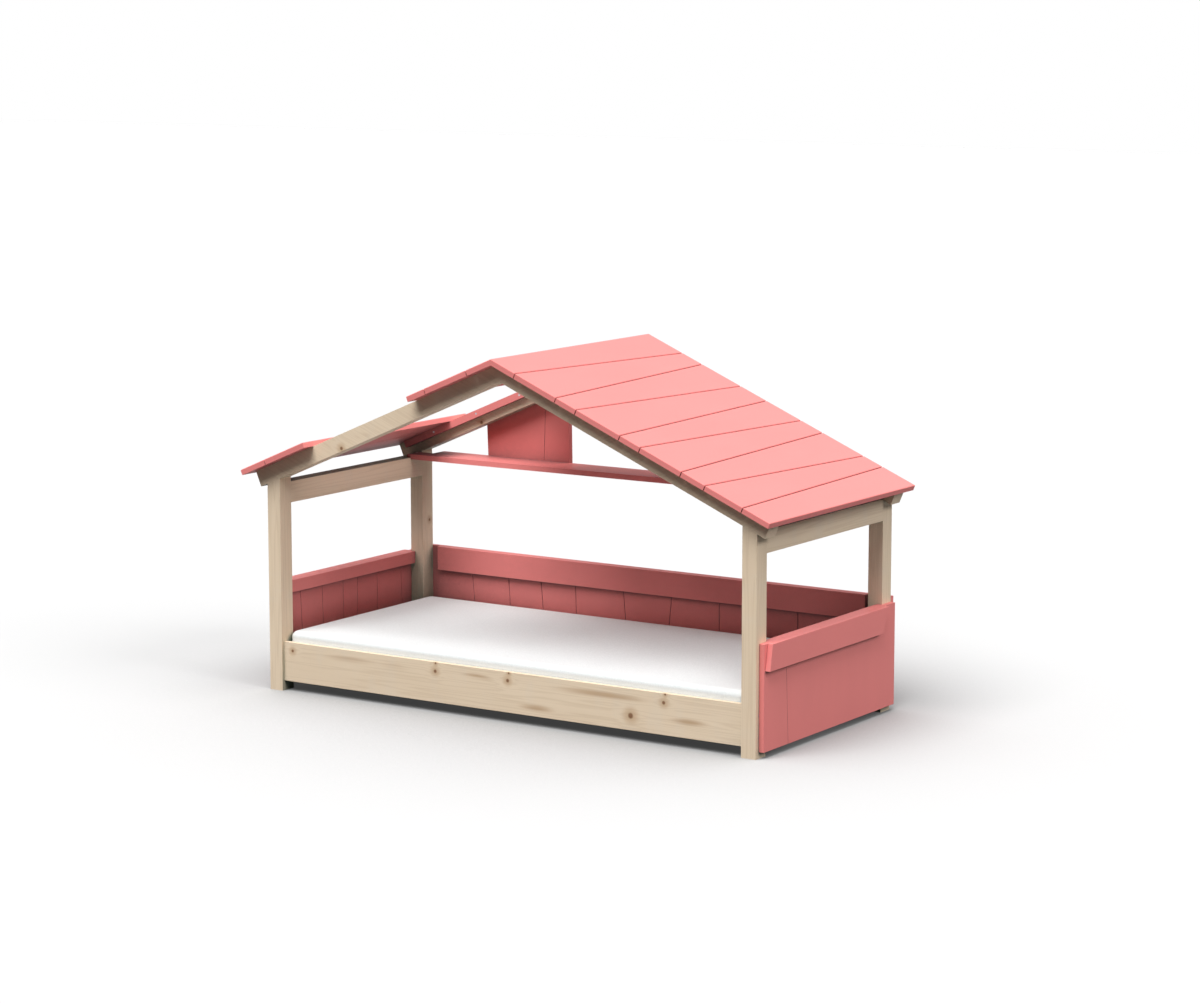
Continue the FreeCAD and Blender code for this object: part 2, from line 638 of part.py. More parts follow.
def batten_screw_sites():
    """Screws from each batten's free face into the rafter beside it."""
    sites = []
    for side, sign in SIDES:
        for end, way in ENDS:
            for number in range(BATTEN_SCREWS):
                down = f"({SLOPE_LENGTH} * {(number + 0.6) / (BATTEN_SCREWS + 0.6)})"
                depth = "(Sizes.board_thickness + Sizes.batten_height / 2)"
                x, _, z, _, _ = slope_site(sign, down, "0", depth)
                y = f"{way} * ({POST_BACK} - Sizes.batten_width)"
                sites.append((along_y(x, y, z, way), (f"roof_batten_{end}_{side}", f"rafter_{end}_{side}")))
    return sites


def wall_screw_sites():
    """Screws through a rail into each wall board, below the mattress."""
    sites = []
    limit = f"({IN} - Sizes.post_width)"
    for number, name in enumerate(groups["back_wall_boards"], 1):
        for place in board_places("back_wall", BACK_WALL, number, f"-{OUT}", OUT):
            x = f"max(-{limit}; min({limit}; {place}))"
            sites.append((along_y(x, BACK_RAIL_IN, RAIL_MID, 1), ("back_rail", name)))
    limit = f"({POST_BACK} - Sizes.post_depth / 2)"
    for (side, sign), widths in zip(SIDES, (LEFT_WALL, RIGHT_WALL)):
        for number, name in enumerate(groups[f"{side}_wall_boards"], 1):
            for place in board_places(f"{side}_wall", widths, number, WALL_FRONT[side], WALL_BACK):
                y = f"max(-{limit}; min({limit}; {place}))"
                sites.append((along_x(f"{sign} * ({OUT} - Sizes.rail_thickness)", y, RAIL_MID, sign),
                              (f"end_rail_{side}", name)))
    return sites


def board_places(table, widths, number, start, finish):
    """Evenly shared places along a wall board's lower end, which the rails are near."""
    length = f"({finish} - {start})"
    near, far = (seam(table, done, len(widths), "bottom", length) for done in (number - 1, number))
    count = max(1, widths[number - 1][1] // WIDE_BOARD)
    return [f"({start} + {near} + ({far} - {near}) * {(step + 0.5) / count})" for step in range(count)]


def base_screw_sites():
    """Screws that hold the bearers to the rails and the slats to the bearers."""
    bearers, slats = [], []
    height = "Sizes.bearer_bottom + Sizes.bearer_height / 2"
    rows = (("front", FRONT_RAIL_IN, 1), ("back", BACK_RAIL_IN, -1))
    for end, rail, way in rows:
        face = f"{rail} + {way} * Sizes.bearer_width"
        for number in range(BEARER_SCREWS):
            gap = number * (SLAT_COUNT - 2) // (BEARER_SCREWS - 1)
            bearers.append((along_y(slat_middle(gap + 0.5), face, height, -way),
                            (f"slat_bearer_{end}", f"{end}_rail")))
        for number in range(SLAT_COUNT):
            y = f"{rail} + {way} * Sizes.bearer_width / 2"
            slats.append(((slat_middle(number), y, SLAT_TOP, X_AXIS, "180"),
                          (f"slat_{number + 1}", f"slat_bearer_{end}")))
    return bearers, slats


def gable_screw_sites():
    """Screws from behind through the gable boards, into the rafter and into the shelf's back edge."""
    sites = []
    rows = (("gable_board_1", "Sizes.gable_left_edge", "Sizes.gable_middle_seam"),
            ("gable_board_2", "Sizes.gable_middle_seam", "Sizes.gable_right_edge"))
    for name, left, right in rows:
        for share in (0.25, 0.75):
            reach = f"({left} + ({right} - {left}) * {share})"
            y = f"{FACE} + Sizes.board_thickness"
            rafter_middle = f"({RAFTER_TOP} + {RAFTER_FOOT}) / 2 - {reach} * {TAN}"
            sites.append((along_y(f"-{reach}", y, rafter_middle, -1), (name, "rafter_back_left")))
            shelf_middle = f"{SHELF_BOTTOM} + Sizes.board_thickness / 2"
            sites.append((along_y(f"-{reach}", y, shelf_middle, -1), (name, "shelf")))
    return sites


def shelf_screw_sites():
    """Two screws down through each end of the shelf into its beam."""
    sites = []
    for side, sign in SIDES:
        for share in (0.25, 0.75):
            y = f"{SHELF_FRONT} + (Sizes.shelf_depth - Sizes.shelf_notch) * {share}"
            x = f"{sign} * ({IN} + Sizes.shelf_bearing / 2)"
            sites.append(((x, y, f"{SHELF_BOTTOM} + Sizes.board_thickness", X_AXIS, "180"),
                          ("shelf", f"eave_beam_{side}")))
    return sites


def make_fasteners():
    bolts, nuts = corner_sites()
    bearers, slats = base_screw_sites()
    fasten("frame_bolts", bolt, bolts)
    fasten("barrel_nuts", barrel_nut, nuts)
    fasten("dowels", dowel, dowel_sites())
    screws("roof_board_screws", "roof_screw_length", roof_screw_sites())
    screws("batten_screws", "batten_screw_length", batten_screw_sites())
    screws("wall_board_screws", "wall_screw_length", wall_screw_sites())
    screws("bearer_screws", "bearer_screw_length", bearers)
    screws("slat_screws", "slat_screw_length", slats)
    screws("gable_screws", "gable_screw_length", gable_screw_sites())
    screws("shelf_screws", "shelf_screw_length", shelf_screw_sites())


# ---------------------------------------------------------------- mattress
def mattress_section(inset, height):
    """One level of the mattress: sides bowed inwards between rounded corners."""
    half_x = size("mattress_length") / 2 - inset
    half_y = size("mattress_width") / 2 - inset
    corner, draw = size("mattress_corner"), size("mattress_draw")
    point = FreeCAD.Vector
    edges = []
    for sign_x, sign_y in ((1, -1), (1, 1), (-1, 1), (-1, -1)):
        along_first = sign_x == sign_y
        a = point(sign_x * half_x, sign_y * (half_y - corner), height)
        b = point(sign_x * (half_x - corner), sign_y * half_y, height)
        bulge = corner * (1 - 0.5 ** 0.5)
        middle = point(sign_x * (half_x - bulge), sign_y * (half_y - bulge), height)
        if not along_first:
            a, b = b, a
        edges.append((a, middle, b))
    arcs = []
    for index, (start, middle, end) in enumerate(edges):
        arcs.append(Part.Arc(start, middle, end).toShape())
        following = edges[(index + 1) % len(edges)][0]
        halfway = (end + following) * 0.5
        inwards = point(0, -draw if halfway.y > 0 else draw, 0)
        if abs(end.x - following.x) < 0.001:
            inwards = point(-draw if halfway.x > 0 else draw, 0, 0)
        arcs.append(Part.Arc(end, halfway + inwards, following).toShape())
    return Part.Wire(arcs)


def make_mattress():
    """A plain mattress with rounded edges, sides drawn in between the corners and a low crown."""
    thick, edge, crown = size("mattress_thickness"), size("mattress_edge"), size("mattress_crown")
    shoulder = thick - crown
    levels = [(edge, 0), (edge / 4, edge / 2), (0, 1.5 * edge), (0, shoulder - 1.5 * edge),
              (edge / 4, shoulder - edge / 2), (edge, shoulder), (6 * edge, thick)]
    solid = Part.makeLoft([mattress_section(inset, height) for inset, height in levels], True, True)
    mattress = doc.addObject("Part::Feature", "mattress_form")
    mattress.Shape = solid
    put(mattress, y=f"{FRONT_RAIL_IN} + Sizes.mattress_clearance + Sizes.mattress_width / 2",
        z=f"{SLAT_TOP} + Sizes.mattress_clearance")
    keep("mattress", mattress)


# ---------------------------------------------------------------- assembly and output
def bored(name):
    """A blank with its bores cut, or the blank itself where nothing goes through it."""
    blank = blanks[name]
    if name not in bores:
        return blank
    tools = doc.addObject("Part::Compound", name + "_bores")
    tools.Links = bores[name]
    cut = doc.addObject("Part::Cut", name + "_bored")
    cut.Base = blank
    cut.Tool = tools
    return cut


def finish_nodes():
    """One object for each node, labelled with the node's name."""
    grouped = {member for members in groups.values() for member in members}
    nodes = []
    for name in blanks:
        if name not in grouped:
            node = bored(name)
            node.Label = name
            nodes.append(node)
    for name, members in groups.items():
        node = doc.addObject("Part::Compound", name)
        node.Links = [bored(member) for member in members]
        node.Label = name
        nodes.append(node)
    return nodes


def check_and_write(nodes):
    """Stop on any failed object or bad shape, then write one file for each node.

    The posts are modelled about the middle; the files have the middle of the roof's plan there.
    """
    failed = [item.Name for item in doc.Objects if {"Invalid", "Error"} & set(item.State)]
    if failed:
        raise RuntimeError("failed objects: " + ", ".join(failed))
    for node in nodes:
        if node.Shape.isNull() or not node.Shape.isValid():
            raise RuntimeError("bad shape: " + node.Label)
    os.makedirs("parts", exist_ok=True)
    to_roof_middle = FreeCAD.Vector(0, (size("front_overhang") - size("back_overhang")) / 2, 0)
    for node in nodes:
        node.Shape.translated(to_roof_middle).exportStep(f"parts/{node.Label}.step")
        print(f"{node.Label}: {len(node.Shape.Solids)} solids, {node.Shape.Volume / 1000:.1f} cm3")


fill_sheet()
make_posts()
make_rafters()
make_beams()
make_rails()
make_base()
make_roof_boards()
make_battens()
make_gable()
make_shelf()
make_walls()
make_mattress()
make_fasteners()
finished = finish_nodes()
doc.recompute()
check_and_write(finished)
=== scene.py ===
"""Looks of the house frame bed: painted boards, pine timber, a soft mattress, studio floor and light.

Lengths are metres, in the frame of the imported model. Colours are linear.
"""
import json
import math

import bmesh
import bpy
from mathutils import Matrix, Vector, noise


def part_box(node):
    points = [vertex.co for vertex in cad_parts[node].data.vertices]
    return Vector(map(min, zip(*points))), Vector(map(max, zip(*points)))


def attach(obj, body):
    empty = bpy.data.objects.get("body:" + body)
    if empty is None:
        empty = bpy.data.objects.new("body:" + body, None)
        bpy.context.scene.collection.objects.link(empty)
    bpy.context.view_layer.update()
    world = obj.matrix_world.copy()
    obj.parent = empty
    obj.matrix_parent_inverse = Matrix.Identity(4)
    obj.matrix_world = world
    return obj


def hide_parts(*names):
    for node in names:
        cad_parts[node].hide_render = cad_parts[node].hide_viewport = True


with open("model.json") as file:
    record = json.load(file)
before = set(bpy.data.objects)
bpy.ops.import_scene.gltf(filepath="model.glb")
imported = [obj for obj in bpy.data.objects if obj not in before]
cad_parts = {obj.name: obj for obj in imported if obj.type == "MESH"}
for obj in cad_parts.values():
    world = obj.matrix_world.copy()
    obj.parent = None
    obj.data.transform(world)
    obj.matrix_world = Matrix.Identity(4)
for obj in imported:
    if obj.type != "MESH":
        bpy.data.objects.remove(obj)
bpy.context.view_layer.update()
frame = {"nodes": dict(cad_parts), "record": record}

nodes = frame["nodes"]
slots = {row["node"]: row["material_slot"] for row in frame["record"]["subparts"]}

# ---------------------------------------------------------------- colours and tones
WHITE = (1.0, 1.0, 1.0)
PINK = (0.845, 0.256, 0.243)
PINE = (0.885, 0.722, 0.538)
PINE_DEEPER = (0.825, 0.662, 0.484)      # in broad patches
LATE_WOOD = (0.600, 0.445, 0.295)        # the dark part of each year's ring
PALE_BANDS = (0.80, 0.70, 0.58)          # across the grain
PORES = (0.50, 0.38, 0.26)
STAIN = (0.42, 0.24, 0.11)
KNOT_HALO = (0.52, 0.31, 0.15)
KNOT_HEART = (0.200, 0.085, 0.040)
STEEL_DARK = (0.16, 0.13, 0.09)
STEEL_PALE = (0.24, 0.20, 0.14)
COVER_DEEPER = (0.735, 0.764, 0.764)
COVER_PALE = (0.815, 0.847, 0.848)
COVER_MIDDLE = (0.775, 0.804, 0.808)
MATT = {"Specular IOR Level": 0.12}      # for timber, painted or clear
SOFT_SHEEN = {"Sheen Weight": 0.05, "Specular IOR Level": 0.1}

# Painted shade: surfaces that the rest of the object encloses are painted deeper and cooler
PAINTED_SHADE_REACH = 1.2                     # how far away the enclosing things may be
PAINTED_SHADE_SAMPLES = 14
PAINTED_SHADE_RANGE = (0.15, 0.43)            # openness at which the painted shade is full, and where it ends
PAINTED_SHADE_TINT = (0.28, 0.40, 0.42)


# ---------------------------------------------------------------- shader helpers
class Graph:
    """Adds nodes to a material or a world; an input is another node's output, a number or a colour."""

    def __init__(self, owner):
        owner.use_nodes = True
        self.tree = owner.node_tree
        self.tree.nodes.clear()

    def add(self, kind, values=None, **options):
        """A new node with its options set and then its inputs."""
        node = self.tree.nodes.new("ShaderNode" + kind)
        for name, value in options.items():
            setattr(node, name, value)
        for name, value in (values or {}).items():
            self.feed(node.inputs[name], value)
        return node

    def feed(self, socket, value):
        if isinstance(value, bpy.types.NodeSocket):
            self.tree.links.new(value, socket)
        elif socket.type == "RGBA":
            socket.default_value = (*value, 1.0)
        else:
            socket.default_value = value

    def math(self, operation, first, second=0.0):
        return self.add("Math", {0: first, 1: second}, operation=operation).outputs[0]

    def total(self, *parts, start=0.0):
        """The start and, for each (value, factor) part, the value times the factor."""
        result = start
        for value, factor in parts:
            result = self.math("ADD", result, self.math("MULTIPLY", value, factor))
        return result

    def sine(self, value, turns=1.0):
        """A sine wave with that many turns while the value grows by 1."""
        return self.math("SINE", self.math("MULTIPLY", value, 2 * math.pi * turns))

    def vector(self, operation, first, second=(0.0, 0.0, 0.0)):
        node = self.add("VectorMath", {0: first, 1: second}, operation=operation)
        return node.outputs["Value" if operation == "LENGTH" else "Vector"]

    def mix(self, share, first, second):
        """The first colour at share 0 and the second at share 1, by a Mix node's sockets for colours."""
        node = self.add("Mix", {0: share, 6: first, 7: second}, data_type="RGBA", clamp_factor=True)
        return node.outputs[2]

    def tint(self, base, colour, share, strength):
        """The base, turned toward the colour by the share times the strength."""
        return self.mix(self.math("MULTIPLY", share, strength), base, colour)

    def noise(self, place, scale, detail, roughness=0.5):
        values = {"Vector": place, "Scale": scale, "Detail": detail, "Roughness": roughness}
        return self.add("TexNoise", values).outputs["Fac"]

    def grain(self, wood, along, across, detail, roughness=0.5):
        """Noise with one scale along the grain and another across it."""
        return self.noise(self.vector("MULTIPLY", wood, (along, across, across)), 1.0, detail, roughness)

    def ramp(self, value, low, high, least=0.0, most=1.0):
        """The least at low, the most at high, and smooth between them."""
        ends = {"From Min": low, "From Max": high, "To Min": least, "To Max": most}
        node = self.add("MapRange", {"Value": value, **ends}, interpolation_type="SMOOTHSTEP")
        return node.outputs["Result"]

    def with_painted_shade(self, colour):
        """The colour with painted shade, deeper and cooler where the surface is enclosed by the rest of the
        object.
        """
        near = self.add("AmbientOcclusion", {"Distance": PAINTED_SHADE_REACH}, samples=PAINTED_SHADE_SAMPLES)
        painted_shade_colour = self.vector("MULTIPLY", colour, PAINTED_SHADE_TINT)
        return self.mix(self.ramp(near.outputs["AO"], *PAINTED_SHADE_RANGE), painted_shade_colour, colour)

    def seen(self):
        """1 for what the camera sees, also in a reflection or through glass, and 0 for light on its way."""
        path = self.add("LightPath").outputs
        through = self.math("MAXIMUM", path["Is Glossy Ray"], path["Is Transmission Ray"])
        return self.math("MAXIMUM", path["Is Camera Ray"], through)

    def surface(self, colour, roughness, height, depth, **extra):
        """Ends a material; its height runs from 0 to 1 and stands for that depth in metres."""
        bump = self.add("Bump", {"Height": height, "Distance": depth, "Strength": 1.0})
        looks = {"Base Color": colour, "Roughness": roughness, "Normal": bump.outputs["Normal"], **extra}
        self.add("OutputMaterial", {"Surface": self.add("BsdfPrincipled", looks).outputs[0]})


def shade(colour, factor):
    """The colour, darker or paler."""
    return tuple(factor * channel for channel in colour)


# ---------------------------------------------------------------- materials
ROOF_SLOPE = math.radians(23)
TURNS = {"x": (0, 0, 0), "y": (0, 0, math.pi / 2), "z": (0, math.pi / 2, 0),
         "left_slope": (0, ROOF_SLOPE, 0), "right_slope": (0, -ROOF_SLOPE, 0)}
SHIFTS = ((7.31, 5.0), (3.17, 3.0), (1.93, 2.0))     # along each axis: a step for each seed, and its room

# Where a knot's bend, halo and heart begin and where they are full, in multiples of its radius
BEND_SPAN = (9.0, 1.2)
HALO_SPAN = (4.2, 0.9)
HEART_SPAN = (1.25, 0.55)
SMUDGE_SCALES = (30.0, 58.0)             # how fast a smudge fades into the board and up it, per metre

# The year's rings are a wave; these are the turns that each noise, and a knot, adds to it
RING_TURNS = 9.0
SWAY_TURNS = 5.0
BEND_TURNS = 0.60
RING_SHARPNESS = 3.0                     # narrows the dark part of the wave

STEEL_STREAKS = (900.0, 900.0, 240.0)    # per metre, along each axis
THREAD = 0.0016                          # from one thread of the mattress's cover to the next
THREAD_WANDER = (0.0012, 0.0012, 0.0012)


def grain_space(graph, along, seed):
    """Object coordinates as they are, and turned so that X runs along the grain.

    The turned ones are moved by the seed, so that no two pieces match.
    """
    place = graph.add("TexCoord").outputs["Object"]
    turn = graph.add("Mapping", {"Vector": place, "Rotation": TURNS[along]}, vector_type="TEXTURE")
    shift = tuple(step * seed % room for step, room in SHIFTS)
    return place, graph.vector("ADD", turn.outputs[0], shift)


def around(graph, far, radius, span):
    """1 at a knot and 0 away from it, over that span."""
    return graph.ramp(far, radius * span[0], radius * span[1])


def pine(name, along, seed, knots=(), smudges=()):
    """Planed pine; knots are (place, radius) and smudges are (place, length), in object coordinates."""
    material = bpy.data.materials.new(name)
    graph = Graph(material)
    place, wood = grain_space(graph, along, seed)
    sway = graph.grain(wood, along=1.1, across=9.0, detail=2.0)
    rings = graph.grain(wood, along=0.55, across=26.0, detail=2.0, roughness=0.55)
    broad = graph.grain(wood, along=0.9, across=5.0, detail=3.0, roughness=0.6)
    bands = graph.grain(wood, along=14.0, across=5.0, detail=2.0)
    pores = graph.grain(wood, along=22.0, across=900.0, detail=2.0, roughness=0.6)
    reaches = [(graph.vector("LENGTH", graph.vector("SUBTRACT", place, centre)), radius)
               for centre, radius in knots]
    bends = [(around(graph, far, radius, BEND_SPAN), BEND_TURNS) for far, radius in reaches]

    line = graph.total((rings, RING_TURNS), (sway, SWAY_TURNS), *bends)
    late = graph.math("POWER", graph.total((graph.sine(line), 0.5), start=0.5), RING_SHARPNESS)
    base = graph.mix(graph.ramp(broad, 0.30, 0.72), PINE, PINE_DEEPER)
    base = graph.tint(base, LATE_WOOD, late, strength=0.23)
    base = graph.tint(base, PALE_BANDS, graph.ramp(bands, 0.50, 0.74), strength=0.22)
    base = graph.tint(base, PORES, graph.ramp(pores, 0.58, 0.80), strength=0.11)
    for centre, length in smudges:
        scales = (1.0 / length, *SMUDGE_SCALES)
        away = graph.vector("SUBTRACT", place, centre)
        far = graph.vector("LENGTH", graph.vector("MULTIPLY", away, scales))
        stain = graph.math("MULTIPLY", graph.ramp(far, 1.0, 0.1), graph.ramp(rings, 0.40, 0.62))
        base = graph.tint(base, STAIN, stain, strength=0.60)
    for far, radius in reaches:
        base = graph.tint(base, KNOT_HALO, around(graph, far, radius, HALO_SPAN), strength=0.50)
        base = graph.tint(base, KNOT_HEART, around(graph, far, radius, HEART_SPAN), strength=0.85)
    height = graph.total((late, -0.35), (pores, -0.25))
    roughness = graph.total((late, 0.10), start=0.50)
    # painted shade: the pine is darkened and cooled where the rest of the bed encloses it
    graph.surface(graph.with_painted_shade(base), roughness, height, depth=0.00025, **MATT)
    return material


def paint(name, along, seed):
    """Matt pink paint with the wood's grain faintly under it."""
    material = bpy.data.materials.new(name)
    graph = Graph(material)
    _, wood = grain_space(graph, along, seed)
    grain = graph.grain(wood, along=2.0, across=160.0, detail=3.0, roughness=0.6)
    blotch = graph.grain(wood, along=2.5, across=6.0, detail=3.0)
    orange_peel = graph.noise(wood, scale=700.0, detail=2.0)
    tone = graph.mix(graph.ramp(blotch, 0.25, 0.75), shade(PINK, 0.975), shade(PINK, 1.02))
    tone = graph.tint(tone, shade(PINK, 0.86), graph.ramp(grain, 0.55, 0.85), strength=0.10)
    height = graph.total((grain, 0.7), (orange_peel, 0.3))
    roughness = graph.total((blotch, 0.12), start=0.46)
    # painted shade: the paint is darkened and cooled where the rest of the bed encloses it
    graph.surface(graph.with_painted_shade(tone), roughness, height, depth=0.00018, **MATT)
    return material


def steel(name):
    """Dull zinc plating, for the fasteners."""
    material = bpy.data.materials.new(name)
    graph = Graph(material)
    place = graph.add("TexCoord").outputs["Object"]
    streak = graph.noise(graph.vector("MULTIPLY", place, STEEL_STREAKS), scale=1.0, detail=2.0)
    tone = graph.mix(streak, STEEL_DARK, STEEL_PALE)
    roughness = graph.total((streak, 0.15), start=0.42)
    graph.surface(tone, roughness, streak, depth=0.00003, Metallic=1.0)
    return material


def cover(name):
    """White woven mattress cover: fine crossed threads with a soft sheen."""
    material = bpy.data.materials.new(name)
    graph = Graph(material)
    place = graph.add("TexCoord").outputs["Object"]
    drift = graph.add("TexNoise", {"Vector": place, "Scale": 60.0}).outputs["Color"]
    cloth = graph.vector("ADD", place, graph.vector("MULTIPLY", drift, THREAD_WANDER))
    across, along, upright = (graph.sine(axis, 1 / THREAD)
                              for axis in graph.add("SeparateXYZ", {0: cloth}).outputs)
    weave = graph.total((graph.math("MULTIPLY", across, along), 0.5), (upright, 0.25))
    fleck = graph.noise(place, scale=260.0, detail=3.0, roughness=0.6)
    soft = graph.noise(place, scale=5.0, detail=3.0)
    tone = graph.mix(graph.ramp(fleck, 0.35, 0.70), COVER_DEEPER, COVER_PALE)
    tone = graph.tint(tone, COVER_MIDDLE, graph.ramp(soft, 0.35, 0.75), strength=0.3)
    height = graph.total((weave, 0.5), (fleck, 0.8))
    graph.surface(tone, roughness=0.85, height=height, depth=0.0004, **SOFT_SHEEN)
    return material


# ---------------------------------------------------------------- CAD nodes
SAME_PLACE = 0.00001
FLAT_ANGLE = math.radians(0.5)           # faces that meet at less than this are one flat face
ARRIS_ANGLE = math.radians(35)           # edges that are sharper than this are rounded
ARRIS_WIDTHS = {"pine": 0.0012, "pink_paint": 0.0010}

# The knots and smudges that the photograph shows: on front faces, as (x, z, radius) and (x, z, length),
# and on a face toward the right, as (y, z, radius)
FRONT_KNOTS = {
    "front_rail": [(-0.964, 0.155, 0.006), (-0.302, 0.153, 0.007), (0.020, 0.155, 0.007),
                   (0.683, 0.153, 0.007), (0.546, 0.090, 0.011), (0.689, 0.183, 0.004),
                   (0.025, 0.183, 0.004), (-0.300, 0.183, 0.004)],
    "rafter_front_left": [(-0.712, 0.944, 0.007)],
    "rafter_back_left": [(-0.716, 0.942, 0.007)],
}
FRONT_SMUDGES = {
    "front_rail": [(-0.487, 0.147, 0.09), (-0.690, 0.151, 0.16), (-0.116, 0.153, 0.09),
                   (0.420, 0.152, 0.26), (0.786, 0.096, 0.10), (0.146, 0.068, 0.10)],
    "rafter_front_left": [(-0.609, 0.999, 0.05)],
}
RIGHT_KNOTS = {"post_back_left": [(0.4783, 0.5265, 0.006)]}


def on_front(name, marks):
    """Marks on a piece's front face, as (place, size)."""
    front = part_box(name)[0].y
    return [((x, front, z), size) for x, z, size in marks.get(name, ())]


def knots_on(name):
    """All knots of a piece, as (place, radius)."""
    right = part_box(name)[1].x
    on_right = [((right, y, z), radius) for y, z, radius in RIGHT_KNOTS.get(name, ())]
    return on_front(name, FRONT_KNOTS) + on_right


def round_edges(piece, width):
    """Joins the loaded faces again and rounds the arrises; the node's own mesh stays as it is."""
    weld = piece.modifiers.new("join", "WELD")
    weld.merge_threshold = SAME_PLACE
    flat = piece.modifiers.new("flatten", "DECIMATE")
    flat.decimate_type = "DISSOLVE"
    flat.angle_limit = FLAT_ANGLE
    bevel = piece.modifiers.new("arris", "BEVEL")
    bevel.width = width
    bevel.segments = 2
    bevel.limit_method = "ANGLE"
    bevel.angle_limit = ARRIS_ANGLE
    bevel.use_clamp_overlap = True
    weighted = piece.modifiers.new("shade", "WEIGHTED_NORMAL")
    weighted.keep_sharp = False


def grain_direction(name):
    """The way a piece's grain runs, as a key of TURNS."""
    if name.startswith(("post", "gable_board")) or name.endswith("wall_boards"):
        return "z"
    if name.startswith(("rafter", "roof_batten")):
        return "left_slope" if name.endswith("left") else "right_slope"
    if name.startswith(("eave_beam", "end_rail", "inner_plank", "outer_plank", "slats", "roof_board")):
        return "y"
    return "x"


def node_material(name, seed):
    """The material for a CAD node's slot; each timber piece has its own, and all steel shares one."""
    along = grain_direction(name)
    if slots[name] == "pine":
        return pine("pine_" + name, along, seed, knots_on(name), on_front(name, FRONT_SMUDGES))
    if slots[name] == "pink_paint":
        return paint("paint_" + name, along, seed)
    if slots[name] == "beech_dowel":
        return pine("beech_dowel", "y", seed)
    return bpy.data.materials.get("zinc_steel") or steel("zinc_steel")


for seed, name in enumerate(sorted(nodes), 1):
    slot, node = slots[name], nodes[name]
    if slot == "mattress_fabric":        # its own mesh is made below
        continue
    if slot in ARRIS_WIDTHS:
        round_edges(node, ARRIS_WIDTHS[slot])
    node.data.materials.clear()
    node.data.materials.append(node_material(name, seed))


# ---------------------------------------------------------------- mattress
CORNER = 0.034                           # radius of the upright corners
TOP_ROUND = 0.024                        # radius of the upper edge
FOOT_ROUND = 0.014                       # radius of the lower edge
CROWN = 0.0012                           # how far the top's edges lie below its middle
SIDE_DRAW = 0.0015                       # how far each side is drawn in at its middle
TOP_CLEARANCE = 0.0010                   # the cover stays this far inside the mattress's box
SIDE_CLEARANCE = 0.0005
CROWN_FADE = 0.05                        # how far down the sides still follow the top's crown
CLEARANCE_FADE = 0.03                    # and its clearance
DRAW_REACH = 0.08                        # the draw and clearance of the sides end this far in
# Rolls and grooves: the place of the middle from the edge, the half width and the size
EDGE_ROLL = (0.030, 0.014, 0.0008)
UPPER_GROOVE = (0.030, 0.006, 0.0008)
LOWER_GROOVE = (0.020, 0.005, 0.0015)
# The top's unevenness: scale per metre, layer of the noise and size
UNEVENNESS = ((4.0, 0.3, 0.0007), (13.0, 2.0, 0.0003))
CALM_EDGE = 0.05                         # the unevenness is full from here in
# The grid's points: reach of the close ones from an edge, and the step between the others
PLAN_GRID = (0.05, 0.016)
SIDE_GRID = (0.03, 0.006)
FIRST_STEP, STEP_GROWTH = 0.003, 1.25
TINY = 1e-9                              # more than the grid's rounding error


def spaced(half, edge, step):
    """Places from -half to half, close together near both ends."""
    near = [0.0]
    gap = FIRST_STEP
    while near[-1] < edge:
        near.append(near[-1] + gap)
        gap *= STEP_GROWTH
    inner = half - near.pop()
    count = max(2, round(2 * inner / step))
    middle = [-inner + 2 * inner * i / count for i in range(count + 1)]
    return [-half + e for e in near] + middle + [half - e for e in reversed(near)]


def fading(distance, reach):
    """1 at no distance and 0 from the reach on."""
    return max(0.0, 1 - distance / reach)


def ridge(distance, middle, width, size):
    """The size at the middle, falling smoothly to nothing on both sides."""
    return size * math.exp(-((distance - middle) / width) ** 2)


def rounding(distance, radius):
    """The moves that round a square edge over, for a point of a face at that distance from the edge.

    The first move is into the body and the second is along the face, away from the edge. Each of the two
    faces that meet has half of the arc.
    """
    if distance >= radius:
        return 0.0, 0.0
    turn = math.pi / 4 * (1 - distance / radius)
    return radius * (1 - math.cos(turn)), radius * (1 - math.sin(turn)) - distance


